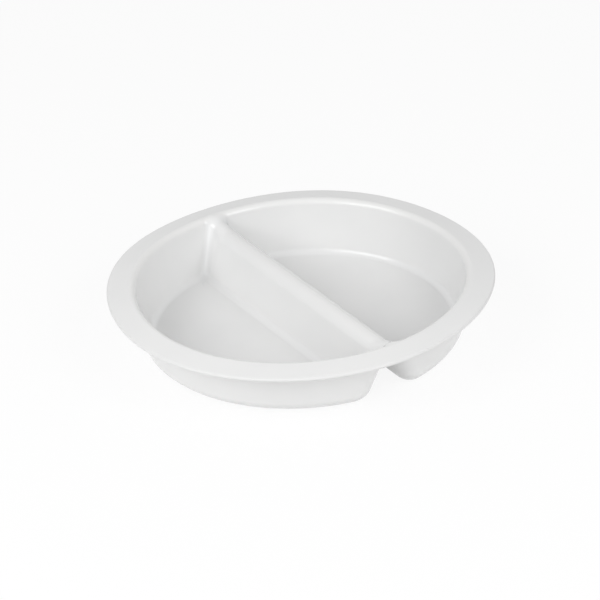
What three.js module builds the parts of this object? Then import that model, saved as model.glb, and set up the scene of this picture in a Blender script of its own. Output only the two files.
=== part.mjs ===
import * as THREE from 'three';
import { mergeVertices } from 'three/addons/utils/BufferGeometryUtils.js';

// A round divided food pan of glazed porcelain: two half-moon wells side by side under one broad rim, parted
// by a hollow ridge that is open underneath. Lengths are in millimetres and angles in degrees. The pan stands
// on z = 0 with its centre on the Z axis, and the divider runs along Y.

// Rim
const RIM_RADIUS = 195;
const RIM_WIDTH = 28.8;
const RIM_SEAT_HEIGHT = 55.8;
const RIM_FALL = 9.3;
const LIP_THICKNESS = 4.4;
const SHOULDER_RADIUS = 6;
const RIM_ROOT_FILLET = 5;

// Wells
const WALL_DRAFT = 11.4;
const WALL_THICKNESS = 6;
const FLOOR_THICKNESS = 6;
const FLOOR_FILLET = 6;
const CORNER_FILLET = 11;

// Divider: the drop of its crest below the lip, its rounding, its slope and the thickness over the groove
const CREST_DROP = 5.7;
const CREST_RADIUS = 13.3;
const DIVIDER_DRAFT = 19.2;
const DIVIDER_THICKNESS = 7.5;

// Saddles at the divider's ends, where its crest climbs and narrows towards the rim and dies away in it
const SADDLE_LIFT = 12;
const SADDLE_TAPER = 6;
const SADDLE_FILLET = 9;
const SADDLE_SOFTNESS = 3;

// Fineness of the facets
const WALL_STEPS = 44;
const SADDLE_STEPS = 5;
const SHOULDER_STEPS = 5;
const LIP_STEPS = 6;
const SECTION_STEPS = 14;
const WALK_STEPS = 240;
const BISECTIONS = 50;

const GLAZE_WHITE = 0xf1f0ed;
const GLAZE_ROUGHNESS = 0.15;

const rimFall = THREE.MathUtils.degToRad(RIM_FALL);
const wallDraft = THREE.MathUtils.degToRad(WALL_DRAFT);
const dividerDraft = THREE.MathUtils.degToRad(DIVIDER_DRAFT);

const lipRadius = LIP_THICKNESS / 2;
const lipCentreRadius = RIM_RADIUS - lipRadius;
const lipCentreHeight = RIM_SEAT_HEIGHT + lipRadius;
const lipTop = RIM_SEAT_HEIGHT + LIP_THICKNESS;
const mouthRadius = RIM_RADIUS - RIM_WIDTH;
const crestCentreHeight = lipTop - CREST_DROP - CREST_RADIUS;
const ceiling = lipTop + RIM_WIDTH;

// Radius of the wells' inside wall and half-width of the divider's straight flank, at a height.
function wallRadius(z) {
  return mouthRadius - (lipTop - z) * Math.tan(wallDraft);
}

function flankHalfWidth(z) {
  return CREST_RADIUS / Math.cos(dividerDraft) + (crestCentreHeight - z) * Math.tan(dividerDraft);
}

// Share of its climb that the crest has made at a place along the divider, none on the straight ridge, and the
// height of a point above the middle of the crest's rounding there.
function climb(y) {
  return THREE.MathUtils.smoothstep(Math.abs(y), cornerY, wallRadius(crestCentreHeight + CREST_RADIUS));
}

function aboveCrest(y, z) {
  return z - crestCentreHeight - SADDLE_LIFT * climb(y);
}

// Rounding between the wall and the divider: the corner's beside the flanks, the saddle's over the crest.
function cornerRadius(x, y, z) {
  const up = aboveCrest(y, z);
  const sine = up / Math.max(Math.hypot(x, up), lipRadius);
  return THREE.MathUtils.lerp(CORNER_FILLET, SADDLE_FILLET, THREE.MathUtils.smoothstep(sine, 0.3, 1));
}

// Distances of a point off the rim's sloping top, off the curved wall and off the straight ridge, positive in
// the air above and inside.
function offRimTop(r, z) {
  const across = (r - lipCentreRadius) * Math.sin(rimFall);
  return across + (z - lipCentreHeight) * Math.cos(rimFall) - lipRadius;
}

function offWall(r, z) {
  return (wallRadius(z) - r) * Math.cos(wallDraft);
}

function offRidge(x, up) {
  const across = Math.abs(x);
  const onCrest = across * Math.sin(dividerDraft) < up * Math.cos(dividerDraft);
  const onFlank = across * Math.cos(dividerDraft) + up * Math.sin(dividerDraft);
  return (onCrest ? Math.hypot(across, up) : onFlank) - CREST_RADIUS;
}

// A rounded edge where two faces stand out, and a hollow fillet where they turn in.
function roundedEdge(a, b, radius) {
  const p = a + radius;
  const q = b + radius;
  return Math.min(Math.max(p, q), 0) + Math.hypot(Math.max(p, 0), Math.max(q, 0)) - radius;
}

function hollowFillet(a, b, radius) {
  if (a >= radius && b >= radius) return Math.min(a, b);
  return radius - Math.hypot(Math.max(radius - a, 0), Math.max(radius - b, 0));
}

// The open air over the pan, positive above its surface. Past the wall the divider dies away under the rim.
function airAbove(x, y, z) {
  const r = Math.hypot(x, y);
  const wall = offWall(r, z);
  const bowl = roundedEdge(offRimTop(r, z), wall, SHOULDER_RADIUS);
  const runOut = (Math.hypot(wall, SADDLE_SOFTNESS) - wall) / 2;
  const divider = offRidge(x, aboveCrest(y, z)) + SADDLE_TAPER * climb(y) + runOut;
  const sides = hollowFillet(bowl, divider, cornerRadius(x, y, z));
  return hollowFillet(sides, z - FLOOR_THICKNESS, FLOOR_FILLET);
}

// The open air under the pan: outside the two cups, under the rim and in the groove below the divider.
function airBelow(x, y, z) {
  const wall = offWall(Math.hypot(x, y), z) + WALL_THICKNESS;
  const divider = offRidge(x, z - crestCentreHeight) + DIVIDER_THICKNESS;
  const sides = hollowFillet(wall, divider, CORNER_FILLET + WALL_THICKNESS);
  const cup = hollowFillet(sides, z, FLOOR_FILLET + FLOOR_THICKNESS);
  return hollowFillet(-cup, RIM_SEAT_HEIGHT - z, RIM_ROOT_FILLET);
}

// Height at which a plumb line at x, y meets the surface that bounds the given air.
function surfaceHeight(air, x, y) {
  let low = -lipRadius;
  let high = ceiling;
  const lowSide = Math.sign(air(x, y, low));
  for (let i = 0; i < BISECTIONS; i++) {
    const middle = (low + high) / 2;
    if (Math.sign(air(x, y, middle)) === lowSide) low = middle;
    else high = middle;
  }
  return high;
}

// Points of a surface over the straight plan line from one place to another, closer together where the
// surface bends.
function surfaceLine(air, from, to) {
  const pointAt = (share) => {
    const plan = new THREE.Vector2().lerpVectors(from, to, share);
    return new THREE.Vector3(plan.x, plan.y, surfaceHeight(air, plan.x, plan.y));
  };
  const walk = [];
  for (let i = 0; i <= WALK_STEPS; i++) walk.push(pointAt(i / WALK_STEPS));
  const steps = walk.slice(1).map((point, i) => point.clone().sub(walk[i]));
  const length = steps.reduce((sum, step) => sum + step.length(), 0);
  const worth = [0];
  steps.forEach((step, i) => {
    const bend = i > 0 ? step.angleTo(steps[i - 1]) : 0;
    worth.push(worth[i] + bend + step.length() / length);
  });
  const line = [walk[0]];
  for (let k = 1; k < SECTION_STEPS; k++) {
    const goal = worth[WALK_STEPS] * k / SECTION_STEPS;
    const next = worth.findIndex((value) => value >= goal);
    const part = (goal - worth[next - 1]) / (worth[next] - worth[next - 1]);
    line.push(pointAt((next - 1 + part) / WALK_STEPS));
  }
  line.push(walk[WALK_STEPS]);
  return line;
}

// A section through the shell over a plan line: its top and its underside, both from the floor outwards.
function shellSection(from, to) {
  return { top: surfaceLine(airAbove, from, to), bottom: surfaceLine(airBelow, from, to) };
}

function movedSection(section, move) {
  return {
    top: section.top.map((point) => move(point.clone())),
    bottom: section.bottom.map((point) => move(point.clone())),
  };
}

const mirrorX = (point) => point.setX(-point.x);
const mirrorY = (point) => point.setY(-point.y);

// The closed outline of a section, and that of a section with its mirror image over the divider's middle.
function outline(section) {
  return [...section.top, ...section.bottom.toReversed()];
}

function doubleOutline(section) {
  const other = movedSection(section, mirrorX);
  const over = other.top.toReversed().slice(1);
  const under = section.bottom.toReversed().slice(1);
  return [...section.top, ...over, ...other.bottom, ...under];
}

// Triangles of the skin between outlines that follow each other, and of the flat cut at one section.
function skinBetween(outlines) {
  const triangles = [];
  for (let i = 0; i + 1 < outlines.length; i++) {
    const here = outlines[i];
    const there = outlines[i + 1];
    here.forEach((point, j) => {
      const next = (j + 1) % here.length;
      triangles.push([point, here[next], there[next]], [point, there[next], there[j]]);
    });
  }
  return triangles;
}

function cutFace({ top, bottom }) {
  const triangles = [];
  let i = 0;
  let j = 0;
  while (i + j < top.length + bottom.length - 2) {
    const aboveNext = i + 1 < top.length ? top[i + 1].distanceTo(bottom[j]) : Infinity;
    const belowNext = j + 1 < bottom.length ? bottom[j + 1].distanceTo(top[i]) : Infinity;
    if (aboveNext <= belowNext) {
      triangles.push([top[i], top[i + 1], bottom[j]]);
      i++;
    } else {
      triangles.push([top[i], bottom[j + 1], bottom[j]]);
      j++;
    }
  }
  return triangles;
}

function doubleCutFace(section) {
  const half = cutFace(section);
  return [...half, ...mirroredTriangles(half, mirrorX)];
}

function turnedOver(triangles) {
  return triangles.map((corners) => corners.toReversed());
}

function mirroredTriangles(triangles, mirror) {
  return turnedOver(triangles).map((corners) => corners.map((point) => mirror(point.clone())));
}

function signedVolume(triangles) {
  const cross = new THREE.Vector3();
  return triangles.reduce((sum, [a, b, c]) => sum + a.dot(cross.crossVectors(b, c)) / 6, 0);
}

// One piece of the casting, with its faces turned outwards.
function casting(name, triangles) {
  const outward = signedVolume(triangles) > 0;
  const corners = triangles.flatMap((face) => (outward ? face : face.toReversed()));
  const bare = new THREE.BufferGeometry().setFromPoints(corners);
  const geometry = mergeVertices(bare);
  geometry.computeVertexNormals();
  const material = new THREE.MeshStandardMaterial({
    color: GLAZE_WHITE,
    roughness: GLAZE_ROUGHNESS,
    metalness: 0,
  });
  const mesh = new THREE.Mesh(geometry, material);
  mesh.name = name;
  return mesh;
}

// The flat of each floor ends where the fillets begin: on an arc, a straight side and two small corners.
const floorRadius = wallRadius(0) - FLOOR_FILLET / Math.cos(wallDraft);
const floorSide = flankHalfWidth(0) + FLOOR_FILLET / Math.cos(dividerDraft);
const floorCorner = Math.max(CORNER_FILLET - FLOOR_FILLET, lipRadius);
const cornerX = floorSide + floorCorner;
const cornerY = Math.sqrt((floorRadius - floorCorner) ** 2 - cornerX ** 2);
const cornerAngle = Math.atan2(cornerY, cornerX);

// The plain flange begins outside the shoulder above and the root fillet below.
const shoulderEnd = mouthRadius + SHOULDER_RADIUS * (1 + Math.sin(rimFall) + Math.tan(wallDraft));
const rootEnd = wallRadius(RIM_SEAT_HEIGHT) + (WALL_THICKNESS + RIM_ROOT_FILLET) / Math.cos(wallDraft);
const flangeRadius = Math.max(shoulderEnd, rootEnd) + lipRadius / 2;

const wallSection = shellSection(new THREE.Vector2(floorRadius, 0), new THREE.Vector2(flangeRadius, 0));
const flankSection = shellSection(new THREE.Vector2(floorSide, 0), new THREE.Vector2(0, 0));

const zAxis = new THREE.Vector3(0, 0, 1);
const wallSectionAt = (angle) => movedSection(wallSection, (point) => point.applyAxisAngle(zAxis, angle));
const flankSectionAt = (y) => movedSection(flankSection, (point) => point.setY(y));

// Sections that fan out of one corner of the right well, from the divider's flank round to the curved wall.
function cornerSections() {
  const count = SADDLE_STEPS + SHOULDER_STEPS;
  const sections = [flankSectionAt(cornerY)];
  for (let i = 1; i < count; i++) {
    const turn = THREE.MathUtils.lerp(Math.PI, cornerAngle, i / count);
    const from = new THREE.Vector2(Math.cos(turn), Math.sin(turn)).multiplyScalar(floorCorner);
    from.add(new THREE.Vector2(cornerX, cornerY));
    const to = new THREE.Vector2();
    if (i <= SADDLE_STEPS) {
      to.y = THREE.MathUtils.lerp(cornerY, flangeRadius, i / SADDLE_STEPS);
    } else {
      const angle = THREE.MathUtils.lerp(Math.PI / 2, cornerAngle, (i - SADDLE_STEPS) / SHOULDER_STEPS);
      to.set(Math.cos(angle), Math.sin(angle)).multiplyScalar(flangeRadius);
    }
    sections.push(shellSection(from, to));
  }
  sections.push(wallSectionAt(cornerAngle));
  return sections;
}

const corner = cornerSections();
const rimCorner = corner.slice(SADDLE_STEPS);
const wall = [];
for (let i = 0; i <= WALL_STEPS; i++) {
  wall.push(wallSectionAt(THREE.MathUtils.lerp(cornerAngle, -cornerAngle, i / WALL_STEPS)));
}

function wellWall() {
  return [
    ...skinBetween(wall.map(outline)),
    ...turnedOver(cutFace(wall[0])),
    ...cutFace(wall[WALL_STEPS]),
  ];
}

function dividerRidge() {
  const ends = [flankSectionAt(-cornerY), flankSectionAt(cornerY)];
  return [
    ...skinBetween(ends.map(doubleOutline)),
    ...turnedOver(doubleCutFace(ends[0])),
    ...doubleCutFace(ends[1]),
  ];
}

// The saddle over the middle, from the ridge's cut to the rim, and a wing on each side round to the walls.
function dividerEnd() {
  const saddle = corner.slice(0, SADDLE_STEPS + 1);
  const wing = [...skinBetween(rimCorner.map(outline)), ...cutFace(rimCorner[SHOULDER_STEPS])];
  return [
    ...skinBetween(saddle.map(doubleOutline)),
    ...turnedOver(doubleCutFace(saddle[0])),
    ...wing,
    ...mirroredTriangles(wing, mirrorX),
  ];
}

// The floor's plate, on the same edge points as the walls around it.
function wellFloor() {
  const farCorner = corner.map((section) => movedSection(section, mirrorY)).toReversed();
  const around = [...corner.slice(0, -1), ...wall.slice(0, -1), ...farCorner];
  const upper = around.map((section) => section.top[0]);
  const lower = around.map((section) => section.bottom[0]);
  const triangles = [];
  upper.forEach((point, i) => {
    const next = (i + 1) % upper.length;
    triangles.push([point, lower[next], upper[next]], [point, lower[i], lower[next]]);
  });
  for (let i = 1; i + 1 < upper.length; i++) {
    triangles.push([upper[0], upper[i], upper[i + 1]], [lower[0], lower[i + 1], lower[i]]);
  }
  return triangles;
}

// The flange all round, from the edge it shares with the shoulder out to the half-round lip.
function rimFlange() {
  const nearCorner = rimCorner.slice(0, -1);
  const farCorner = nearCorner.map((section) => movedSection(section, mirrorY)).toReversed();
  const rightHalf = [...nearCorner, ...wall, ...farCorner];
  const leftHalf = rightHalf.map((section) => movedSection(section, mirrorX)).toReversed();
  const outlines = [...rightHalf, ...leftHalf.slice(1)].map((section) => {
    const top = section.top.at(-1);
    const bottom = section.bottom.at(-1);
    const out = new THREE.Vector3(top.x, top.y, 0).normalize();
    const lip = [];
    for (let k = 0; k <= LIP_STEPS; k++) {
      const turn = THREE.MathUtils.lerp(Math.PI / 2 - rimFall, -Math.PI / 2, k / LIP_STEPS);
      const point = out.clone().multiplyScalar(lipCentreRadius + lipRadius * Math.cos(turn));
      lip.push(point.setZ(lipCentreHeight + lipRadius * Math.sin(turn)));
    }
    return [top, ...lip, bottom];
  });
  return skinBetween(outlines);
}

const rightWall = wellWall();
const rightFloor = wellFloor();
const backEnd = dividerEnd();

const dividedPan = new THREE.Group();
dividedPan.name = 'divided_food_pan';
dividedPan.add(
  casting('rim_flange', rimFlange()),
  casting('left_well_wall', mirroredTriangles(rightWall, mirrorX)),
  casting('right_well_wall', rightWall),
  casting('left_well_floor', mirroredTriangles(rightFloor, mirrorX)),
  casting('right_well_floor', rightFloor),
  casting('divider_ridge', dividerRidge()),
  casting('divider_front_end', mirroredTriangles(backEnd, mirrorY)),
  casting('divider_back_end', backEnd),
);

export default dividedPan;
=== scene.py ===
"""A round porcelain food pan with two half-moon wells, glazed and lit for a plain studio picture."""

import logging
import math
from collections.abc import Callable
from dataclasses import dataclass, field
from enum import Enum

import bmesh
import bpy
import numpy as np
from mathutils import Matrix, Vector


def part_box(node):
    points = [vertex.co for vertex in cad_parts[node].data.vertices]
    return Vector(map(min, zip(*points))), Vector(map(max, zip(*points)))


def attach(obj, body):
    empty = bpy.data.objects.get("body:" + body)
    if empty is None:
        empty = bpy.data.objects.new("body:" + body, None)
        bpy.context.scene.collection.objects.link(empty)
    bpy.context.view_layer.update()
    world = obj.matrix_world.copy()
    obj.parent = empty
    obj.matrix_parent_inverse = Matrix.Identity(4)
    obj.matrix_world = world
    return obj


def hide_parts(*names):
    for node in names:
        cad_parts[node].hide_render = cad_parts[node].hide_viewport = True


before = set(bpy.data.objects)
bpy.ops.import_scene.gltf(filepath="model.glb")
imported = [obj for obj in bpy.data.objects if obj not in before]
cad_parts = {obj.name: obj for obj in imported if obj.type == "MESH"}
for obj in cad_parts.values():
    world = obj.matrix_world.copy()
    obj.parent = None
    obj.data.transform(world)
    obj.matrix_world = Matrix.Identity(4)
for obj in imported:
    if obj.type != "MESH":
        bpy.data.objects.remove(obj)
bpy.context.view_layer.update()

LOG = logging.getLogger("divided_pan")
BODY = "root"
GLAZE_SLOT = "glazed_porcelain"
MM = 0.001
TINY = 1e-12
PHOTO_PIXELS = 600
MIRROR_X = np.array([-1.0, 1.0, 1.0])
MIRROR_Y = np.array([1.0, -1.0, 1.0])
IN_PLAN = np.array([1.0, 1.0, 0.0])
UPWARDS = np.array([0.0, 0.0, 1.0])
WHITE = (1.0, 1.0, 1.0, 1.0)
MIX_SHARE = 0
MIX_FIRST = 6
MIX_SECOND = 7
MIX_RESULT = 2

Points = np.ndarray
Colour = tuple[float, float, float, float]


class Face(Enum):
    """The two faces of the thin shell."""

    TOP = "top"
    UNDERSIDE = "underside"


class Side(Enum):
    """The two wells, by the sign of X on their side of the divider."""

    LEFT = -1
    RIGHT = 1


class End(Enum):
    """The two ends of the divider, by the sign of Y."""

    FRONT = -1
    BACK = 1


class GlazeLayer(Enum):
    """What each vertex tells the glaze, by the name under which the finish reads it."""

    POOL = "glaze_pool"
    THIN = "glaze_thin"
    LIP = "glaze_lip"


def smooth_step(low: float, high: float, values: Points) -> Points:
    """Eases from 0 to 1 between two limits."""
    share = np.clip((values - low) / (high - low), 0.0, 1.0)
    return share * share * (3.0 - 2.0 * share)


def rounded_edge(a: Points, b: Points, radius: float) -> Points:
    """Joins two faces over a rounded edge that stands out.

    Args:
        a: Distance off the first face, positive in the air.
        b: Distance off the second face.
        radius: The edge's radius.

    Returns:
        Distance off the joined faces.
    """
    p, q = a + radius, b + radius
    outside = np.hypot(np.maximum(p, 0.0), np.maximum(q, 0.0))
    return np.minimum(np.maximum(p, q), 0.0) + outside - radius


def hollow_fillet(a: Points, b: Points, radius: Points | float) -> Points:
    """Joins two faces, given by the distances off them, in a hollow fillet."""
    turned = radius - np.hypot(np.maximum(radius - a, 0.0), np.maximum(radius - b, 0.0))
    return np.where((a >= radius) & (b >= radius), np.minimum(a, b), turned)


def bend_share(p: Points, q: Points) -> Points:
    """Share of a rounded joint, 1 in its middle, at depths past its start on both faces."""
    p, q = np.maximum(p, 0.0), np.maximum(q, 0.0)
    return 2.0 * p * q / np.maximum(p * p + q * q, TINY)


def round_and_up(p: Points) -> tuple[Points, Points]:
    """Distances of points from the pan's axis, and their heights."""
    return np.hypot(p[..., 0], p[..., 1]), p[..., 2]


def towards(azimuth: float, elevation: float) -> Vector:
    """Direction from the pan to a place in the studio, with the azimuth from the front to the right."""
    level = math.cos(elevation)
    return Vector((math.sin(azimuth) * level, -math.cos(azimuth) * level, math.sin(elevation)))


def put_in_scene(name: str, data: bpy.types.ID) -> bpy.types.Object:
    """Makes an object that shows some data.

    Args:
        name: The object's name.
        data: Its mesh, lamp or camera.

    Returns:
        The object, linked to the scene.
    """
    item = bpy.data.objects.new(name, data)
    bpy.context.scene.collection.objects.link(item)
    return item


@dataclass(frozen=True)
class Fineness:
    """How finely the visual surface is divided."""

    wall_steps: int = 132
    saddle_steps: int = 16
    shoulder_steps: int = 16
    ridge_steps: int = 48
    top_steps: int = 56
    underside_steps: int = 44
    lip_steps: int = 18
    flange_steps: int = 8
    floor_rings: int = 14
    walk_steps: int = 500


@dataclass(frozen=True)
class Section:
    """Lines over both faces of the shell, each from a floor's edge outwards, one line a row."""

    top: Points
    underside: Points

    def turned(self, angle: float) -> "Section":
        """Turns the lines round the pan's axis.

        Args:
            angle: The turn in radians.

        Returns:
            The turned lines.
        """
        c, s = math.cos(angle), math.sin(angle)
        spin = np.array([[c, s, 0.0], [-s, c, 0.0], [0.0, 0.0, 1.0]])
        return Section(self.top @ spin, self.underside @ spin)

    def moved(self, shift: Points) -> "Section":
        """The same lines, moved."""
        return Section(self.top + shift, self.underside + shift)

    def edge(self, step: int) -> Points:
        """Points of all lines at one step, each with the one below it."""
        return np.stack([self.top[:, step], self.underside[:, step]], 1)


@dataclass(frozen=True)
class Welded:
    """A skin with one vertex at each shared corner: ideal points, summed normals and faces."""

    points: Points
    normals: Points
    faces: list[list[int]]
    glazed: list[bool]


@dataclass
class Skin:
    """Collects the faces of one piece before they become a mesh."""

    points: list[Points] = field(default_factory=list)
    quads: list[Points] = field(default_factory=list)
    normals: list[Points] = field(default_factory=list)
    count: int = 0

    def grid(self, points: Points, normals: Points | None = None, closed: bool = False) -> None:
        """Adds a sheet of quads.

        Args:
            points: Points by line and step.
            normals: Smooth normals of the points, or nothing for a flat cut.
            closed: Whether the last line joins the first.
        """
        lines, steps = points.shape[:2]
        index = np.arange(lines * steps).reshape(lines, steps) + self.count
        if closed:
            index = np.concatenate([index, index[:1]])
        corners = [index[:-1, :-1], index[:-1, 1:], index[1:, 1:], index[1:, :-1]]
        self.points.append(points.reshape(-1, 3))
        self.quads.append(np.stack(corners, -1).reshape(-1, 4))
        flat = np.zeros((lines * steps, 3))
        self.normals.append(flat if normals is None else normals.reshape(-1, 3))
        self.count += lines * steps

    def cut(self, top: Points, underside: Points) -> None:
        """Adds the flat cut between a line on top and the line below it.

        Args:
            top: Points of the upper line.
            underside: Points of the lower line, which may have another count.
        """
        i = j = 0
        strips = []
        while i < len(top) - 1 or j < len(underside) - 1:
            up = np.linalg.norm(top[i + 1] - underside[j]) if i + 1 < len(top) else math.inf
            down = np.linalg.norm(underside[j + 1] - top[i]) if j + 1 < len(underside) else math.inf
            if up <= down:
                strips.append((top[i], top[i + 1], underside[j], underside[j]))
                i += 1
            else:
                strips.append((top[i], top[i], underside[j + 1], underside[j]))
                j += 1
        faces = np.array(strips)
        self.points.append(faces.reshape(-1, 3))
        self.quads.append(np.arange(len(faces) * 4).reshape(-1, 4) + self.count)
        self.normals.append(np.zeros((len(faces) * 4, 3)))
        self.count += len(faces) * 4

    def mirrored(self, x: int = 1, y: int = 1) -> "Skin":
        """Mirrors the faces.

        Args:
            x: Sign to give X.
            y: Sign to give Y.

        Returns:
            The mirrored copy.
        """
        signs = np.array([x, y, 1.0])
        flipped = [quads[:, ::-1] if x * y < 0 else quads for quads in self.quads]
        points = [sheet * signs for sheet in self.points]
        normals = [sheet * signs for sheet in self.normals]
        return Skin(points, flipped, normals, self.count)

    def joined(self, other: "Skin") -> "Skin":
        """Adds another skin to this one.

        Args:
            other: The skin to add.

        Returns:
            Both as a new skin.
        """
        shifted = [quads + self.count for quads in other.quads]
        points = self.points + other.points
        normals = self.normals + other.normals
        return Skin(points, self.quads + shifted, normals, self.count + other.count)

    def welded(self, reach: float) -> Welded:
        """Welds corners that lie together, and drops faces that have no area left.

        Args:
            reach: Distance within which corners are one.

        Returns:
            The welded skin.
        """
        points, quads = np.concatenate(self.points), np.concatenate(self.quads)
        normals = np.concatenate(self.normals)
        keys = np.round(points / reach).astype(np.int64)
        _, first, vertex = np.unique(keys, axis=0, return_index=True, return_inverse=True)
        vertex = vertex.reshape(-1)
        summed = np.zeros((len(first), 3))
        np.add.at(summed, vertex, normals)
        shiny = normals[quads].any(axis=2).all(axis=1)
        faces, glazed = [], []
        for corners, is_shiny in zip(vertex[quads], shiny):
            kept = [corner for k, corner in enumerate(corners) if corner != corners[k - 1]]
            if len(set(kept)) > 2:
                faces.append(kept)
                glazed.append(bool(is_shiny))
        return Welded(points[first], summed, faces, glazed)


@dataclass(frozen=True)
class KilnWarp:
    """The slight wave that firing leaves in the rim: a lean, and lobes by two, three and four."""

    lean_cos: float = -0.25 * MM
    lean_sin: float = 0.7 * MM
    two_cos: float = -0.4 * MM
    two_sin: float = -1.2 * MM
    three_cos: float = -0.5 * MM
    three_sin: float = 0.8 * MM
    four_cos: float = -0.8 * MM
    four_sin: float = -0.3 * MM
    still_height: float = 12.0 * MM

    def lift(self, points: Points, full_radius: float, full_height: float) -> Points:
        """Works out how far the wave lifts points.

        Args:
            points: Points of the pan, one a row.
            full_radius: Radius at which the wave is full.
            full_height: Height at which the wave is full.

        Returns:
            The lift of each point.
        """
        x, y = points[..., 0] / full_radius, points[..., 1] / full_radius
        even, skew = x * x - y * y, 2 * x * y
        wave = self.lean_cos * x + self.lean_sin * y + self.two_cos * even + self.two_sin * skew
        wave = wave + self.three_cos * (x * even - y * skew) + self.three_sin * (y * even + x * skew)
        wave = wave + self.four_cos * (even**2 - skew**2) + self.four_sin * 2 * even * skew
        return wave * smooth_step(self.still_height, full_height, points[..., 2])


@dataclass(frozen=True)
class Rim:
    """The flat ring with its half-round lip, on which the pan hangs."""

    radius: float
    seat_height: float
    width: float = 28.8 * MM
    fall: float = math.radians(9.3)
    lip_thickness: float = 4.4 * MM
    shoulder_radius: float = 6.0 * MM
    root_fillet: float = 5.0 * MM

    @classmethod
    def from_frame(cls) -> "Rim":
        """Takes the rim's radius and height from its CAD node."""
        low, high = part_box("rim_flange")
        return cls(radius=(high.y - low.y) / 2, seat_height=low.z)

    @property
    def lip_radius(self) -> float:
        """Radius of the half-round lip."""
        return self.lip_thickness / 2

    @property
    def lip_top(self) -> float:
        """Height of the lip's top."""
        return self.seat_height + self.lip_thickness

    @property
    def lip_centre(self) -> tuple[float, float]:
        """Radius and height of the middle of the lip's section."""
        return self.radius - self.lip_radius, self.seat_height + self.lip_radius

    @property
    def mouth_radius(self) -> float:
        """Radius of the wells' wall at the height of the lip's top."""
        return self.radius - self.width

    def off_top(self, r: Points, z: Points) -> Points:
        """Works out distances off the rim's sloping top.

        Args:
            r: Distances from the pan's axis.
            z: Heights.

        Returns:
            The distances, positive in the air.
        """
        lip_r, lip_z = self.lip_centre
        slope = (r - lip_r) * math.sin(self.fall)
        return slope + (z - lip_z) * math.cos(self.fall) - self.lip_radius

    def inner_edge(self, drawn: "Draughtsman") -> Points:
        """Follows the edge that the flange shares with the shoulder, all round.

        Args:
            drawn: The lines over the casting.

        Returns:
            Points of the edge, each with the one below it.
        """
        near = drawn.corner.edge(-1)[drawn.fineness.saddle_steps:-1]
        right = np.concatenate([near, drawn.wall_sections().edge(-1), (near * MIRROR_Y)[::-1]])
        left = (right * MIRROR_X)[::-1]
        return np.concatenate([right, left[1:-1]])

    def skin(self, drawn: "Draughtsman") -> Skin:
        """Sweeps the flange's section round the pan.

        Args:
            drawn: The lines over the casting.

        Returns:
            The flange's faces.
        """
        fine, edge = drawn.fineness, self.inner_edge(drawn)
        out = edge[:, 0] * IN_PLAN
        out = out / np.linalg.norm(out, axis=1, keepdims=True)
        lip_r, lip_z = self.lip_centre
        turns = np.linspace(math.pi / 2 - self.fall, -math.pi / 2, fine.lip_steps + 1)
        normals = out[:, None] * np.cos(turns)[None, :, None]
        normals[..., 2] = np.sin(turns)
        lip = out[:, None] * lip_r + normals * self.lip_radius
        lip[..., 2] += lip_z
        shares = np.linspace(0.0, 1.0, fine.flange_steps + 1)[None, :, None]
        top = edge[:, :1] + shares * (lip[:, :1] - edge[:, :1])
        under = lip[:, -1:] + shares * (edge[:, 1:] - lip[:, -1:])
        skin = Skin()
        skin.grid(top, np.repeat(normals[:, :1], fine.flange_steps + 1, 1), closed=True)
        skin.grid(lip, normals, closed=True)
        skin.grid(under, np.repeat(normals[:, -1:], fine.flange_steps + 1, 1), closed=True)
        skin.grid(edge, closed=True)
        return skin

    def build(self, drawn: "Draughtsman", potter: "Potter") -> None:
        """Makes the flange."""
        potter.make("glazed_rim_flange", self.skin(drawn), "rim_flange")


@dataclass(frozen=True)
class Well:
    """A half-moon well, the same on both sides: its curved wall and its floor."""

    floor_thickness: float
    wall_draft: float = math.radians(11.4)
    wall_thickness: float = 6.0 * MM
    floor_fillet: float = 6.0 * MM
    corner_fillet: float = 11.0 * MM

    @classmethod
    def from_frame(cls) -> "Well":
        """Takes the floor's thickness from its CAD node."""
        _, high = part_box("right_well_floor")
        return cls(floor_thickness=high.z)

    @property
    def floor_corner(self) -> float:
        """Rounding of the corners of the floor's flat."""
        return self.corner_fillet - self.floor_fillet

    def wall(self, drawn: "Draughtsman") -> Skin:
        """Makes the faces of the curved wall on the right-hand side."""
        return shell_skin(drawn.casting, drawn.wall_sections(), (True, True))

    def floor(self, drawn: "Draughtsman") -> Skin:
        """Makes the faces of the floor's plate on the right-hand side.

        Args:
            drawn: The lines over the casting.

        Returns:
            The floor's faces.
        """
        corner, wall, fine = drawn.corner, drawn.wall_sections(), drawn.fineness
        rims = []
        for near, arc in ((corner.top, wall.top), (corner.underside, wall.underside)):
            far = (near * MIRROR_Y)[::-1]
            straight = np.linspace(far[-1, 0], near[0, 0], fine.ridge_steps + 1)
            rims.append(np.concatenate([near[:-1, 0], arc[:-1, 0], far[:-1, 0], straight[:-1]]))
        shares = np.linspace(1.0, 0.0, fine.floor_rings + 1)[None, :, None]
        skin = Skin()
        for rim, outwards in zip(rims, (UPWARDS, -UPWARDS)):
            middle = rim.mean(0)
            disc = middle + shares * (rim[:, None] - middle)
            disc[..., 2] = rim[0, 2]
            skin.grid(disc, np.broadcast_to(outwards, disc.shape), closed=True)
        skin.grid(np.stack(rims, 1), closed=True)
        return skin

    def build(self, drawn: "Draughtsman", potter: "Potter", side: Side) -> None:
        """Makes the wall and the floor of one well.

        Args:
            drawn: The lines over the casting.
            potter: Makes the pieces.
            side: The well's side of the divider.
        """
        word, sign = side.name.lower(), side.value
        wall, floor = self.wall(drawn).mirrored(x=sign), self.floor(drawn).mirrored(x=sign)
        potter.make(f"glazed_{word}_wall", wall, f"{word}_well_wall")
        potter.make(f"glazed_{word}_floor", floor, f"{word}_well_floor")


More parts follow.
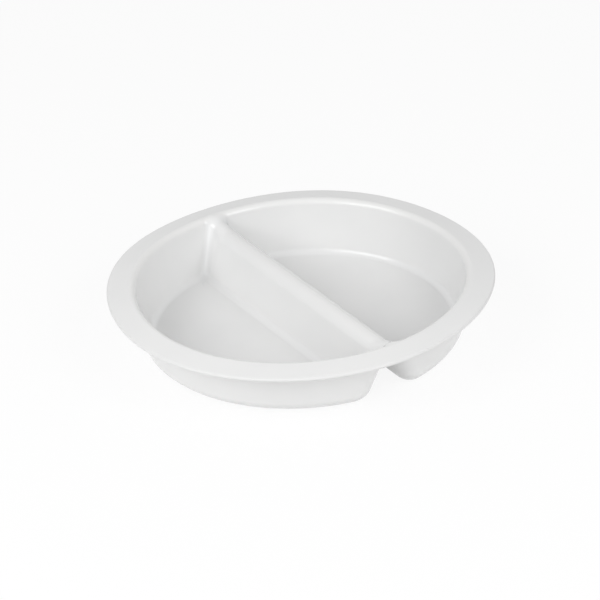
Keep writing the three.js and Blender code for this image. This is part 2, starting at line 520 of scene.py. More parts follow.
@dataclass(frozen=True)
class Divider:
    """The hollow ridge between the wells, with the saddles at its ends."""

    crest_drop: float = 5.7 * MM
    crest_radius: float = 13.3 * MM
    draft: float = math.radians(19.2)
    thickness: float = 7.5 * MM
    saddle_lift: float = 12.0 * MM
    saddle_taper: float = 6.0 * MM
    saddle_fillet: float = 9.0 * MM
    saddle_start: float = 0.3
    run_out_softness: float = 3.0 * MM

    def off_ridge(self, across: Points, up: Points) -> Points:
        """Works out distances off a straight ridge.

        Args:
            across: Distances from the ridge's middle plane.
            up: Heights above the middle of its crest's rounding.

        Returns:
            The distances, positive in the air.
        """
        sine, cosine = math.sin(self.draft), math.cos(self.draft)
        on_crest = across * sine < up * cosine
        reach = np.where(on_crest, np.hypot(across, up), across * cosine + up * sine)
        return reach - self.crest_radius

    def run_out(self, wall: Points) -> Points:
        """What is added to distances off the divider, so that it dies away softly outside the wall."""
        return (np.hypot(wall, self.run_out_softness) - wall) / 2

    def ridge(self, drawn: "Draughtsman") -> Skin:
        """Makes the faces of the straight ridge.

        Args:
            drawn: The lines over the casting.

        Returns:
            The ridge's faces.
        """
        along = np.zeros((drawn.fineness.ridge_steps + 1, 1, 3))
        along[:, 0, 1] = np.linspace(-drawn.corner_y, drawn.corner_y, len(along))
        flank = drawn.flank_line.moved(along)
        half = shell_skin(drawn.casting, flank, (True, True), outer_cut=False)
        return half.joined(half.mirrored(x=-1))

    def saddle(self, drawn: "Draughtsman") -> Skin:
        """Makes the faces of the back end, from the ridge's cut to the walls' cuts.

        Args:
            drawn: The lines over the casting.

        Returns:
            The saddle's faces.
        """
        corner, steps = drawn.corner, drawn.fineness.saddle_steps
        middle = Section(corner.top[: steps + 1], corner.underside[: steps + 1])
        wing = Section(corner.top[steps:], corner.underside[steps:])
        half = shell_skin(drawn.casting, middle, (True, False), outer_cut=False)
        half = half.joined(shell_skin(drawn.casting, wing, (False, True)))
        return half.joined(half.mirrored(x=-1))

    def build(self, drawn: "Draughtsman", potter: "Potter") -> None:
        """Makes the ridge and both its ends.

        Args:
            drawn: The lines over the casting.
            potter: Makes the pieces.
        """
        potter.make("glazed_divider_ridge", self.ridge(drawn), "divider_ridge")
        for end in End:
            word = end.name.lower()
            skin = self.saddle(drawn).mirrored(y=end.value)
            potter.make(f"glazed_divider_{word}_end", skin, f"divider_{word}_end")


@dataclass(frozen=True)
class Casting:
    """The form of the whole pan, bounded by the air above and the air below its shell."""

    rim: Rim = field(default_factory=Rim.from_frame)
    well: Well = field(default_factory=Well.from_frame)
    divider: Divider = Divider()
    warp: KilnWarp = KilnWarp()

    @property
    def crest_centre(self) -> float:
        """Height of the middle of the divider's rounded crest."""
        return self.rim.lip_top - self.divider.crest_drop - self.divider.crest_radius

    def wall_radius(self, z: Points | float) -> Points | float:
        """Radius of the wells' inside wall at a height."""
        return self.rim.mouth_radius - (self.rim.lip_top - z) * math.tan(self.well.wall_draft)

    def flank_half_width(self, z: float) -> float:
        """Half-width of the divider's straight flanks at a height."""
        rise = (self.crest_centre - z) * math.tan(self.divider.draft)
        return self.divider.crest_radius / math.cos(self.divider.draft) + rise

    @property
    def floor_radius(self) -> float:
        """Radius at which the floor's flat ends and the wall's fillet begins."""
        return self.wall_radius(0.0) - self.well.floor_fillet / math.cos(self.well.wall_draft)

    @property
    def floor_side(self) -> float:
        """Distance from the middle at which the floor's flat ends beside the divider."""
        return self.flank_half_width(0.0) + self.well.floor_fillet / math.cos(self.divider.draft)

    @property
    def corner_place(self) -> tuple[float, float]:
        """Plan position of the middle of the floor's corner rounding."""
        across = self.floor_side + self.well.floor_corner
        return across, math.sqrt((self.floor_radius - self.well.floor_corner) ** 2 - across**2)

    @property
    def flange_radius(self) -> float:
        """Finds where the plain flange begins, clear of the shoulder and the root fillet.

        Returns:
            The radius.
        """
        rim, draft = self.rim, self.well.wall_draft
        shoulder = 1 + math.sin(rim.fall) + math.tan(draft)
        shoulder_end = rim.mouth_radius + rim.shoulder_radius * shoulder
        root = (self.well.wall_thickness + rim.root_fillet) / math.cos(draft)
        root_end = self.wall_radius(rim.seat_height) + root
        return max(shoulder_end, root_end) + rim.lip_radius / 2

    def climb(self, p: Points) -> Points:
        """Works out how far the crest has climbed to the rim along the divider.

        Args:
            p: Points near the surface.

        Returns:
            Shares of the climb, 0 along the straight ridge.
        """
        _, along = self.corner_place
        wall = self.wall_radius(self.crest_centre + self.divider.crest_radius)
        return smooth_step(along, wall, np.abs(p[..., 1]))

    def above_crest(self, p: Points) -> Points:
        """Height above the middle of the crest's rounding."""
        return p[..., 2] - self.crest_centre - self.divider.saddle_lift * self.climb(p)

    def corner_radius(self, p: Points) -> Points:
        """Rounds the joint of wall and divider fully beside the flanks, and tighter over the crest.

        Args:
            p: Points near the surface.

        Returns:
            The rounding's radius at each point.
        """
        up = self.above_crest(p)
        sine = up / np.maximum(np.hypot(p[..., 0], up), MM)
        steep = smooth_step(self.divider.saddle_start, 1.0, sine)
        return self.well.corner_fillet + (self.divider.saddle_fillet - self.well.corner_fillet) * steep

    def off_wall(self, r: Points, z: Points) -> Points:
        """Distance off the wells' curved wall, positive inside."""
        return (self.wall_radius(z) - r) * math.cos(self.well.wall_draft)

    def bowl(self, r: Points, z: Points) -> Points:
        """Distance off the wall, the shoulder and the rim's top."""
        return rounded_edge(self.rim.off_top(r, z), self.off_wall(r, z), self.rim.shoulder_radius)

    def off_divider(self, p: Points) -> Points:
        """Distance off the divider's crest and flanks, positive in the wells."""
        straight = self.divider.off_ridge(np.abs(p[..., 0]), self.above_crest(p))
        return straight + self.divider.saddle_taper * self.climb(p)

    def fading_divider(self, p: Points) -> Points:
        """Distance off the divider as it dies away outside the wall."""
        return self.off_divider(p) + self.divider.run_out(self.off_wall(*round_and_up(p)))

    def air_above(self, p: Points) -> Points:
        """Works out distances off the pan's upper surface.

        Args:
            p: Points near the surface.

        Returns:
            The distances, positive in the air above.
        """
        r, z = round_and_up(p)
        sides = hollow_fillet(self.bowl(r, z), self.fading_divider(p), self.corner_radius(p))
        return hollow_fillet(sides, z - self.well.floor_thickness, self.well.floor_fillet)

    def air_below(self, p: Points) -> Points:
        """Works out distances off the pan's underside.

        Args:
            p: Points near the surface.

        Returns:
            The distances, positive in the air below.
        """
        r, z = round_and_up(p)
        well = self.well
        wall = self.off_wall(r, z) + well.wall_thickness
        ridge = self.divider.off_ridge(np.abs(p[..., 0]), z - self.crest_centre)
        groove = ridge + self.divider.thickness
        sides = hollow_fillet(wall, groove, well.corner_fillet + well.wall_thickness)
        cup = hollow_fillet(sides, z, well.floor_fillet + well.floor_thickness)
        return hollow_fillet(-cup, self.rim.seat_height - z, self.rim.root_fillet)

    def air(self, face: Face) -> Callable[[Points], Points]:
        """The air that bounds one face of the shell."""
        return self.air_above if face is Face.TOP else self.air_below

    def on_surface(self, face: Face, plan: Points, halvings: int = 46) -> Points:
        """Drops plan positions onto one face of the shell.

        Args:
            face: The face to drop onto.
            plan: X and Y of the positions, in the last axis.
            halvings: How often the search interval is halved.

        Returns:
            Points on the surface.
        """
        air = self.air(face)
        low = np.full(plan.shape[:-1], -self.rim.lip_radius)
        high = np.full(plan.shape[:-1], self.rim.lip_top + self.rim.width)
        low_sign = np.sign(air(np.concatenate([plan, low[..., None]], -1)))
        for _ in range(halvings):
            middle = (low + high) / 2
            same = np.sign(air(np.concatenate([plan, middle[..., None]], -1))) == low_sign
            low, high = np.where(same, middle, low), np.where(same, high, middle)
        return np.concatenate([plan, high[..., None]], -1)

    def normals(self, face: Face, points: Points, step: float = 0.02 * MM) -> Points:
        """Finds directions square to one face of the shell, out of the material.

        Args:
            face: The face that the points lie on.
            points: Points on that face.
            step: Half the distance over which the slope is taken.

        Returns:
            Unit vectors, one a point.
        """
        air = self.air(face)
        slopes = [air(points + axis * step) - air(points - axis * step) for axis in np.eye(3)]
        slope = np.stack(slopes, -1)
        return slope / np.linalg.norm(slope, axis=-1, keepdims=True)


class Draughtsman:
    """Draws the lines over the casting that the meshes of its pieces are made from."""

    def __init__(self, casting: Casting, fineness: Fineness) -> None:
        """Draws the sections that all pieces share.

        Args:
            casting: The form of the pan.
            fineness: How finely to draw it.
        """
        self.casting = casting
        self.fineness = fineness
        across, self.corner_y = casting.corner_place
        self.corner_angle = math.atan2(self.corner_y, across)
        outwards = np.array([[casting.floor_radius, 0.0], [casting.flange_radius, 0.0]])
        inwards = np.array([[casting.floor_side, 0.0], [0.0, 0.0]])
        self.wall_line = self.section(outwards[:1], outwards[1:])
        self.flank_line = self.section(inwards[:1], inwards[1:])
        self.corner = self.corner_sections()

    def section(self, starts: Points, stops: Points) -> Section:
        """Draws sections of the shell over straight plan lines.

        Args:
            starts: X and Y where each line starts, one a row.
            stops: X and Y where each line stops.

        Returns:
            The lines over both faces.
        """
        top = self.lines(Face.TOP, starts, stops, self.fineness.top_steps)
        underside = self.lines(Face.UNDERSIDE, starts, stops, self.fineness.underside_steps)
        return Section(top, underside)

    def lines(self, face: Face, starts: Points, stops: Points, steps: int) -> Points:
        """Draws lines over one face, with points closer together where it bends.

        Args:
            face: The face to draw on.
            starts: X and Y where each line starts, one a row.
            stops: X and Y where each line stops.
            steps: Steps in each line.

        Returns:
            Points of the lines, by line and step.
        """
        shares = np.linspace(0.0, 1.0, self.fineness.walk_steps + 1)
        plan = starts[:, None] + shares[None, :, None] * (stops - starts)[:, None]
        walk = self.casting.on_surface(face, plan)
        stride = np.diff(walk, axis=1)
        length = np.linalg.norm(stride, axis=2)
        heading = stride / length[..., None]
        bend = np.arccos(np.clip((heading[:, 1:] * heading[:, :-1]).sum(2), -1.0, 1.0))
        worth = length / length.sum(1, keepdims=True)
        worth[:, 1:] += bend
        reached = np.concatenate([np.zeros((len(walk), 1)), np.cumsum(worth, 1)], 1)
        goals = np.linspace(0.0, 1.0, steps + 1)
        picked = np.stack([np.interp(goals * row[-1], row, shares) for row in reached])
        plan = starts[:, None] + picked[..., None] * (stops - starts)[:, None]
        return self.casting.on_surface(face, plan)

    def corner_sections(self) -> Section:
        """Draws the fan of sections round the back corner of the right well.

        Returns:
            Sections from the divider's flank, over the saddle, round to the curved wall.
        """
        fine, pan = self.fineness, self.casting
        count = fine.saddle_steps + fine.shoulder_steps
        turns = np.linspace(math.pi, self.corner_angle, count + 1)
        starts = np.stack([np.cos(turns), np.sin(turns)], 1) * pan.well.floor_corner
        starts = starts + np.array(pan.corner_place)
        up = np.linspace(self.corner_y, pan.flange_radius, fine.saddle_steps + 1)
        middle = np.stack([np.zeros_like(up), up], 1)
        angles = np.linspace(math.pi / 2, self.corner_angle, fine.shoulder_steps + 1)[1:]
        outer = np.stack([np.cos(angles), np.sin(angles)], 1) * pan.flange_radius
        drawn = self.section(starts, np.concatenate([middle, outer]))
        flank = self.flank_line.moved(np.array([0.0, self.corner_y, 0.0]))
        wall = self.wall_line.turned(self.corner_angle)
        for row, shared in ((0, flank), (-1, wall)):
            drawn.top[row], drawn.underside[row] = shared.top[0], shared.underside[0]
        return drawn

    def wall_sections(self) -> Section:
        """Draws the sections of the right well's curved wall.

        Returns:
            Sections from the well's back corner to its front one.
        """
        angles = np.linspace(self.corner_angle, -self.corner_angle, self.fineness.wall_steps + 1)
        turned = [self.wall_line.turned(angle) for angle in angles]
        top = np.concatenate([line.top for line in turned])
        underside = np.concatenate([line.underside for line in turned])
        return Section(top, underside)


def shell_skin(
    casting: Casting, section: Section, end_cuts: tuple[bool, bool], outer_cut: bool = True
) -> Skin:
    """Makes the faces of a stretch of shell.

    Args:
        casting: The form of the pan.
        section: Lines over the stretch, in order.
        end_cuts: Whether the first and the last line end in a cut.
        outer_cut: Whether the lines' outer ends are a cut too.

    Returns:
        The faces.
    """
    skin = Skin()
    skin.grid(section.top, casting.normals(Face.TOP, section.top))
    skin.grid(section.underside, casting.normals(Face.UNDERSIDE, section.underside))
    skin.grid(section.edge(0))
    if outer_cut:
        skin.grid(section.edge(-1))
    for line, wanted in zip((0, -1), end_cuts):
        if wanted:
            skin.cut(section.top[line], section.underside[line])
    return skin


@dataclass(frozen=True)
class GlazeFlow:
    """Where the wet glaze gathered on a casting, and where it drew away; the lip's share also places a
    painted shade on the lip.
    """

    casting: Casting
    foot_share: float = 0.5
    crest_start: float = 0.75
    crest_share: float = 0.6
    crest_reach: float = 1.0 * MM
    lip_start: float = 0.2
    lip_full: float = 0.7

    def pooling(self, p: Points) -> Points:
        """Tells where glaze gathers in the hollow fillets.

        Args:
            p: Points on the upper surface.

        Returns:
            0 on open faces, up to 1 in the middle of a fillet.
        """
        pan, well = self.casting, self.casting.well
        r, z = round_and_up(p)
        radius, bowl, divider = pan.corner_radius(p), pan.bowl(r, z), pan.fading_divider(p)
        corner = bend_share(radius - bowl, radius - divider)
        sides = hollow_fillet(bowl, divider, radius)
        foot = bend_share(well.floor_fillet - sides, well.floor_fillet - z + well.floor_thickness)
        return np.maximum(corner, self.foot_share * foot)

    def thinning(self, p: Points) -> Points:
        """Tells where glaze runs thin over the edges that stand out.

        Args:
            p: Points on the upper surface.

        Returns:
            0 on open faces, up to 1 on the shoulder and the crest.
        """
        pan = self.casting
        r, z = round_and_up(p)
        rounding = pan.rim.shoulder_radius
        shoulder = bend_share(pan.rim.off_top(r, z) + rounding, pan.off_wall(r, z) + rounding)
        up = pan.above_crest(p) / pan.divider.crest_radius
        on_divider = np.abs(pan.off_divider(p)) < self.crest_reach
        crest = smooth_step(self.crest_start, 1.0, up) * on_divider
        return np.maximum(shoulder, crest * self.crest_share)

    def round_lip(self, p: Points) -> Points:
        """Tells how far round the lip points lie: 0 on the flange, 1 on its outward half."""
        past = round_and_up(p)[0] - self.casting.rim.lip_centre[0]
        return smooth_step(self.lip_start, self.lip_full, past / self.casting.rim.lip_radius)

    def layers(self, p: Points, upper: Points) -> dict[GlazeLayer, Points]:
        """Works out all that the glaze is told.

        Args:
            p: Points on either face.
            upper: Whether each point is on the upper face.

        Returns:
            The value at each point, by layer.
        """
        return {
            GlazeLayer.POOL: np.where(upper, self.pooling(p), 0.0),
            GlazeLayer.THIN: np.where(upper, self.thinning(p), 0.0),
            GlazeLayer.LIP: self.round_lip(p),
        }


@dataclass(frozen=True)
class Potter:
    """Turns skins into smooth closed meshes that carry where the glaze lies thick and thin."""

    casting: Casting
    glaze: bpy.types.Material
    weld_reach: float = 1e-8

    def make(self, name: str, skin: Skin, node: str) -> None:
        """Makes one piece and lets it stand for its CAD node.

        Args:
            name: The piece's name.
            skin: The piece's faces.
            node: The CAD node that it stands for.
        """
        mesh = self.mesh(name, skin)
        mesh.materials.append(self.glaze)
        piece = put_in_scene(name, mesh)
        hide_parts(node)
        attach(piece, BODY)
        LOG.info("%s: %d faces, for %s", name, len(mesh.polygons), node)

    def mesh(self, name: str, skin: Skin) -> bpy.types.Mesh:
        """Welds a skin into a closed mesh with smooth normals on its glazed faces.

        Args:
            name: The mesh's name.
            skin: The faces.

        Returns:
            The mesh.
        """
        welded = skin.welded(self.weld_reach)
        placed = welded.points.copy()
        rim = self.casting.rim
        placed[:, 2] += self.casting.warp.lift(welded.points, rim.radius, rim.seat_height)
        mesh = bpy.data.meshes.new(name)
        mesh.from_pydata(placed.tolist(), [], welded.faces)
        self.face_outwards(mesh)
        self.shade(mesh, welded)
        upper = welded.normals[:, 2] > 0.0
        for layer, values in GlazeFlow(self.casting).layers(welded.points, upper).items():
            attribute = mesh.attributes.new(layer.value, "FLOAT", "POINT")
            attribute.data.foreach_set("value", values.astype(np.float32))
        return mesh

    @staticmethod
    def face_outwards(mesh: bpy.types.Mesh) -> None:
        """Turns all faces of a closed mesh outwards.

        Args:
            mesh: The mesh.
        """
        work = bmesh.new()
        work.from_mesh(mesh)
        bmesh.ops.recalc_face_normals(work, faces=work.faces)
        work.to_mesh(mesh)
        work.free()

    @staticmethod
    def shade(mesh: bpy.types.Mesh, welded: Welded) -> None:
        """Gives glazed faces the casting's own normals and leaves cuts flat.

        Args:
            mesh: The mesh, with its faces outwards.
            welded: The skin that it was made from.
        """
        length = np.maximum(np.linalg.norm(welded.normals, axis=1, keepdims=True), TINY)
        smooth = welded.normals / length
        loop_normals = []
        for polygon in mesh.polygons:
            polygon.use_smooth = True
            shiny = welded.glazed[polygon.index]
            for vertex in polygon.vertices:
                loop_normals.append(tuple(smooth[vertex]) if shiny else tuple(polygon.normal))
        mesh.normals_split_custom_set(loop_normals)


class Graph:
    """A node tree with one way to add a node."""

    def __init__(self, tree: bpy.types.NodeTree) -> None:
        """Takes a tree and empties it."""
        self.tree = tree
        tree.nodes.clear()

    def node(
        self, kind: str, settings: dict | None = None, inputs: dict | None = None
    ) -> bpy.types.Node:
        """Adds a node.

        Args:
            kind: The node's type.
            settings: Attributes to set before the sockets.
            inputs: Values or links of its sockets, by name or number.

        Returns:
            The node.
        """
        node = self.tree.nodes.new(kind)
        for name, value in (settings or {}).items():
            setattr(node, name, value)
        for key, value in (inputs or {}).items():
            socket = node.inputs[key]
            if isinstance(value, Tone):
                self.tree.links.new(value.socket, socket)
            elif isinstance(value, bpy.types.NodeSocket):
                self.tree.links.new(value, socket)
            else:
                socket.default_value = value
        return node

    def tone(
        self, kind: str, output: str | int, settings: dict | None = None, inputs: dict | None = None
    ) -> "Tone":
        """Adds a node and wraps one of its outputs."""
        return Tone(self, self.node(kind, settings, inputs).outputs[output])

    def blend(
        self, factor: "Tone", low: Colour | bpy.types.NodeSocket, high: Colour
    ) -> bpy.types.NodeSocket:
        """Mixes two colours, by the share of the second."""
        inputs = {MIX_SHARE: factor, MIX_FIRST: low, MIX_SECOND: high}
        return self.node("ShaderNodeMix", {"data_type": "RGBA"}, inputs).outputs[MIX_RESULT]

    def layer(self, layer: GlazeLayer) -> "Tone":
        """Reads what the mesh tells the glaze."""
        return self.tone("ShaderNodeAttribute", "Fac", {"attribute_name": layer.value})


class Tone:
    """A number that varies over a surface, for use in plain expressions."""

    def __init__(self, graph: Graph, socket: bpy.types.NodeSocket) -> None:
        """Wraps an output socket of a tree."""
        self.graph = graph
        self.socket = socket

    def math(self, operation: str, first: "Tone | float", second: "Tone | float") -> "Tone":
        """Adds a Math node."""
        settings = {"operation": operation}
        return self.graph.tone("ShaderNodeMath", 0, settings, {0: first, 1: second})

    def __add__(self, other: "Tone | float") -> "Tone":
        """Adds."""
        return self.math("ADD", self, other)

    __radd__ = __add__

    def __sub__(self, other: "Tone | float") -> "Tone":
        """Takes away."""
        return self.math("SUBTRACT", self, other)

    def __rsub__(self, other: float) -> "Tone":
        """Is taken away from a number."""
        return self.math("SUBTRACT", other, self)

    def __mul__(self, other: "Tone | float") -> "Tone":
        """Multiplies."""
        return self.math("MULTIPLY", self, other)

    __rmul__ = __mul__

    def __gt__(self, other: "Tone | float") -> "Tone":
        """Is 1 where it is greater, else 0."""
        return self.math("GREATER_THAN", self, other)

    def max(self, other: "Tone | float") -> "Tone":
        """The greater of two numbers."""
        return self.math("MAXIMUM", self, other)

    def eased(self, low: float, high: float) -> "Tone":
        """Eases from 0 to 1 between two limits."""
        settings = {"interpolation_type": "SMOOTHSTEP"}
        return self.graph.tone("ShaderNodeMapRange", 0, settings, {0: self, 1: low, 2: high})


@dataclass(frozen=True)
class Noise:
    """A soft random pattern, by its waves in a metre and the finer layers in it."""

    scale: float
    detail: float
    middle: float = 0.5

    def tone(self, graph: Graph, place: bpy.types.NodeSocket) -> Tone:
        """Adds the pattern to a finish."""
        inputs = {"Vector": place, "Scale": self.scale, "Detail": self.detail}
        return graph.tone("ShaderNodeTexNoise", 0, inputs=inputs)


@dataclass(frozen=True)
class WipedFoot:
    """The flats under the wells, wiped free of glaze up to an edge that wanders."""

    wander: Noise = Noise(scale=160.0, detail=2.0)
    wander_height: float = 0.5 * MM
    bare_height: float = 0.12 * MM
    glazed_height: float = 0.3 * MM

    def mask(self, graph: Graph, place: bpy.types.NodeSocket) -> Tone:
        """Finds the wiped flats.

        Args:
            graph: The material's tree.
            place: Position on the pan.

        Returns:
            1 on the flats, else 0.
        """
        height = graph.tone("ShaderNodeSeparateXYZ", 2, inputs={0: place})
        sway = self.wander.tone(graph, place) - self.wander.middle
        edge = height + sway * self.wander_height
        return 1.0 - edge.eased(self.bare_height, self.glazed_height)


@dataclass(frozen=True)
class IronSpecks:
    """A few fine specks, in some cells of a random scatter."""

    scale: float = 70.0
    core: float = 0.010
    edge: float = 0.022
    empty_share: float = 0.93

    def mask(self, graph: Graph, place: bpy.types.NodeSocket) -> Tone:
        """Scatters the specks.

        Args:
            graph: The material's tree.
            place: Position on the pan.

        Returns:
            1 in a speck, else 0.
        """
        inputs = {"Vector": place, "Scale": self.scale}
        cells = graph.node("ShaderNodeTexVoronoi", None, inputs)
        near = Tone(graph, cells.outputs["Distance"])
        pick = graph.tone("ShaderNodeSeparateColor", 0, inputs={0: cells.outputs["Color"]})
        return (1.0 - near.eased(self.core, self.edge)) * (pick > self.empty_share)


@dataclass(frozen=True)
class GlazeRipple:
    """The faint ripple of poured glaze, and the tooth of bare biscuit."""

    slow: Noise = Noise(scale=22.0, detail=1.0)
    fast: Noise = Noise(scale=90.0, detail=1.0)
    slow_share: float = 0.75
    fast_share: float = 0.12
    tooth_share: float = 0.5
    depth: float = 0.25 * MM

    def normal(
        self, graph: Graph, place: bpy.types.NodeSocket, grain: Tone, bare: Tone
    ) -> bpy.types.NodeSocket:
        """Bends the surface's normal.

        Args:
            graph: The material's tree.
            place: Position on the pan.
            grain: Fine noise.
            bare: Where there is no glaze.

        Returns:
            The bent normal.
        """
        slow, fast = self.slow.tone(graph, place), self.fast.tone(graph, place)
        height = slow * self.slow_share + fast * self.fast_share + grain * bare * self.tooth_share
        inputs = {"Strength": 1.0, "Distance": self.depth, "Height": height}
        return graph.node("ShaderNodeBump", None, inputs).outputs[0]


@dataclass(frozen=True)
class PorcelainGlaze:
    """White porcelain under a clear glaze, with bare biscuit where the pan stood in the kiln."""

    white: Colour = (0.78, 0.78, 0.777, 1.0)
    drift: Colour = (0.755, 0.757, 0.755, 1.0)
    pooled: Colour = (0.75, 0.757, 0.76, 1.0)
    thin: Colour = (0.80, 0.797, 0.787, 1.0)
    # painted shade: the lip's outward half is darkened to dim its highlight
    lip: Colour = (0.70, 0.70, 0.697, 1.0)
    biscuit: Colour = (0.70, 0.68, 0.65, 1.0)
    speck: Colour = (0.42, 0.38, 0.33, 1.0)
    cloud: Noise = Noise(scale=9.0, detail=3.0)
    grain: Noise = Noise(scale=700.0, detail=2.0)
    foot: WipedFoot = WipedFoot()
    specks: IronSpecks = IronSpecks()
    ripple: GlazeRipple = GlazeRipple()
    drift_start: float = 0.35
    drift_full: float = 0.7
    pool_tint: float = 0.35
    thin_tint: float = 0.55
    lip_shade_tint: float = 0.7
    speck_tint: float = 0.5
    cloud_tint: float = 0.4
    body_roughness: float = 0.42
    grain_roughness: float = 0.08
    biscuit_roughness: float = 0.85
    body_specular: float = 0.3
    glaze_roughness: float = 0.10
    glaze_weight: float = 0.65
    lip_loss: float = 0.65
    glaze_ior: float = 1.5

    def build(self) -> bpy.types.Material:
        """Makes the finish.

        Returns:
            The material.
        """
        material = bpy.data.materials.new(GLAZE_SLOT)
        material.use_nodes = True
        graph = Graph(material.node_tree)
        place = graph.node("ShaderNodeTexCoord").outputs["Object"]
        grain = self.grain.tone(graph, place)
        pool, lip = graph.layer(GlazeLayer.POOL), graph.layer(GlazeLayer.LIP)
        bare = self.foot.mask(graph, place)
        cover = self.glaze_weight + pool * (1.0 - self.glaze_weight) - lip * self.lip_loss
        biscuit_loss = self.biscuit_roughness - self.body_roughness
        inputs = {
            "Base Color": self.colour(graph, place, bare),
            "Roughness": self.body_roughness + self.grain_roughness * grain + bare * biscuit_loss,
            "Specular IOR Level": self.body_specular,
            "Coat Weight": (1.0 - bare) * cover,
            "Coat Roughness": self.glaze_roughness,
            "Coat IOR": self.glaze_ior,
            "Normal": self.ripple.normal(graph, place, grain, bare),
        }
        shader = graph.node("ShaderNodeBsdfPrincipled", None, inputs)
        graph.node("ShaderNodeOutputMaterial", None, {"Surface": shader.outputs[0]})
        return material

    def colour(
        self, graph: Graph, place: bpy.types.NodeSocket, bare: Tone
    ) -> bpy.types.NodeSocket:
        """Lays the tints over each other.

        Args:
            graph: The material's tree.
            place: Position on the pan.
            bare: Where there is no glaze.

        Returns:
            The colour.
        """
        cloud = self.cloud.tone(graph, place)
        drifting = cloud.eased(self.drift_start, self.drift_full)
        pool, thin, lip = (graph.layer(layer) for layer in GlazeLayer)
        tints = (
            (pool * (self.pool_tint + self.cloud_tint * cloud), self.pooled),
            (thin * self.thin_tint, self.thin),
            # painted shade over the lip, dimming its highlight
            (lip * (self.lip_shade_tint + self.cloud_tint * cloud), self.lip),
            (self.specks.mask(graph, place) * self.speck_tint, self.speck),
            (bare, self.biscuit),
        )
        colour = graph.blend(drifting, self.white, self.drift)
        for share, tint in tints:
            colour = graph.blend(share, colour, tint)
        return colour


def background_rays(graph: Graph) -> Tone:
    """Tells the rays that show the background: from the camera, or bent by gloss or glass.

    Args:
        graph: The tree of the floor or the world.

    Returns:
        1 for those rays, else 0.
    """
    path = graph.node("ShaderNodeLightPath")
    camera = Tone(graph, path.outputs["Is Camera Ray"])
    glossy = Tone(graph, path.outputs["Is Glossy Ray"])
    through = Tone(graph, path.outputs["Is Transmission Ray"])
    return camera.max(glossy).max(through)


@dataclass(frozen=True)
class FloorPaint:
    """Pale matt paint, white to the camera but for the pan's own shadow."""

    colour: Colour = (0.9, 0.9, 0.9, 1.0)
    own_white: float = 0.9

    def build(self) -> bpy.types.Material:
        """Makes the finish.

        Returns:
            The material.
        """
        material = bpy.data.materials.new("studio_floor_paint")
        material.use_nodes = True
        graph = Graph(material.node_tree)
        lit = graph.node("ShaderNodeBsdfDiffuse", None, {"Color": self.colour})
        white = graph.node("ShaderNodeEmission", None, {"Color": WHITE, "Strength": 1.0})
        share = background_rays(graph) * self.own_white
        inputs = {0: share, 1: lit.outputs[0], 2: white.outputs[0]}
        mixed = graph.node("ShaderNodeMixShader", None, inputs)
        graph.node("ShaderNodeOutputMaterial", None, {"Surface": mixed.outputs[0]})
        return material


@dataclass(frozen=True)
class PaleFloor:
    """The plain floor, just under the pan's feet."""

    half_width: float = 6.0
    drop: float = 0.05 * MM
    paint: FloorPaint = FloorPaint()

    def build(self) -> None:
        """Lays the floor."""
        corners = ((-1, -1), (1, -1), (1, 1), (-1, 1))
        points = [(x * self.half_width, y * self.half_width, -self.drop) for x, y in corners]
        mesh = bpy.data.meshes.new("studio_floor")
        mesh.from_pydata(points, [], [(0, 1, 2, 3)])
        mesh.materials.append(self.paint.build())
        put_in_scene("studio_floor", mesh)


@dataclass(frozen=True)
class SoftBox:
    """An upright soft lamp aimed at the pan."""

    name: str
    azimuth: float
    elevation: float
    width: float
    height: float
    radiance: float
    distance: float = 1.8

    def build(self, aim: Vector) -> None:
        """Hangs the lamp.

        Args:
            aim: The point that it shines at.
        """
        data = bpy.data.lights.new(self.name, "AREA")
        data.shape = "RECTANGLE"
        data.size = self.width
        data.size_y = self.height
        data.energy = math.pi * self.width * self.height * self.radiance
        away = towards(self.azimuth, self.elevation)
        lamp = put_in_scene(self.name, data)
        lamp.location = aim + away * self.distance
        lamp.rotation_euler = away.to_track_quat("Z", "Y").to_euler()
        lamp.visible_camera = False
        LOG.info("lamp %s", self.name)


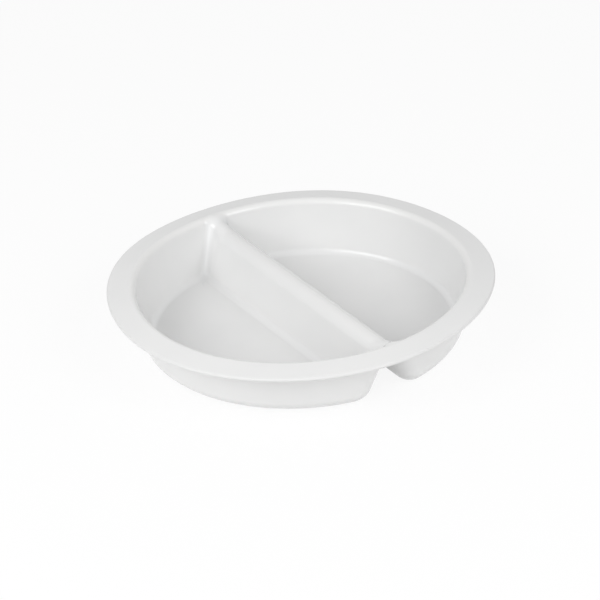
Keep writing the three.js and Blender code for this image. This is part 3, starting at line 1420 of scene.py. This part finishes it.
@dataclass(frozen=True)
class ViewPoint:
    """The camera, far off with a long lens, as the picture was taken."""

    azimuth: float = math.radians(-30.2)
    elevation: float = math.radians(28.95)
    roll: float = math.radians(-3.78)
    distance: float = 3.0
    pixels_per_metre: float = 992.8
    aim_height: float = 36.0 * MM
    aim_aside: float = -2.0 * MM
    sensor: float = 36.0

    def build(self) -> None:
        """Sets up the camera."""
        back = towards(self.azimuth, self.elevation)
        right = Vector((math.cos(self.azimuth), math.sin(self.azimuth), 0.0))
        up = back.cross(right)
        image_right = right * math.cos(self.roll) + up * math.sin(self.roll)
        image_up = up * math.cos(self.roll) - right * math.sin(self.roll)
        data = bpy.data.cameras.new("photo_camera")
        data.sensor_width = self.sensor
        data.lens = self.sensor * self.pixels_per_metre * self.distance / PHOTO_PIXELS
        camera = put_in_scene("photo_camera", data)
        aim = Vector((0.0, 0.0, self.aim_height)) + right * self.aim_aside
        turned = Matrix((image_right, image_up, back)).transposed().to_4x4()
        camera.matrix_world = Matrix.Translation(aim + back * self.distance) @ turned
        bpy.context.scene.camera = camera


@dataclass(frozen=True)
class Studio:
    """The floor, the lamps, the world and the camera."""

    floor: PaleFloor = PaleFloor()
    view: ViewPoint = ViewPoint()
    ambient: float = 0.45
    aim_height: float = 30.0 * MM
    lamps: tuple[SoftBox, ...] = (
        SoftBox(
            "left_softbox",
            azimuth=math.radians(-88.0),
            elevation=math.radians(37.0),
            width=1.2,
            height=1.0,
            radiance=3.85,
        ),
        SoftBox(
            "front_left_softbox",
            azimuth=math.radians(-58.0),
            elevation=math.radians(20.0),
            width=0.8,
            height=0.5,
            radiance=2.4,
        ),
        SoftBox(
            "right_softbox",
            azimuth=math.radians(18.0),
            elevation=math.radians(33.0),
            width=1.0,
            height=1.1,
            radiance=3.85,
        ),
    )

    def light_world(self) -> None:
        """Gives the world its soft light and its white background."""
        world = bpy.data.worlds.new("studio_world")
        bpy.context.scene.world = world
        world.use_nodes = True
        graph = Graph(world.node_tree)
        strength = self.ambient + background_rays(graph) * (1.0 - self.ambient)
        shine = graph.node("ShaderNodeBackground", None, {"Color": WHITE, "Strength": strength})
        graph.node("ShaderNodeOutputWorld", None, {"Surface": shine.outputs[0]})

    def build(self) -> None:
        """Sets up the studio."""
        bpy.context.scene.view_settings.view_transform = "Standard"
        self.floor.build()
        self.light_world()
        for lamp in self.lamps:
            lamp.build(Vector((0.0, 0.0, self.aim_height)))
        self.view.build()


def main() -> None:
    """Builds the pan piece by piece, then the studio around it."""
    logging.basicConfig(level=logging.INFO, format="%(name)s: %(message)s")
    casting = Casting()
    drawn = Draughtsman(casting, Fineness())
    potter = Potter(casting, PorcelainGlaze().build())
    casting.rim.build(drawn, potter)
    for side in Side:
        casting.well.build(drawn, potter, side)
    casting.divider.build(drawn, potter)
    Studio().build()


if __name__ == "__main__":
    main()
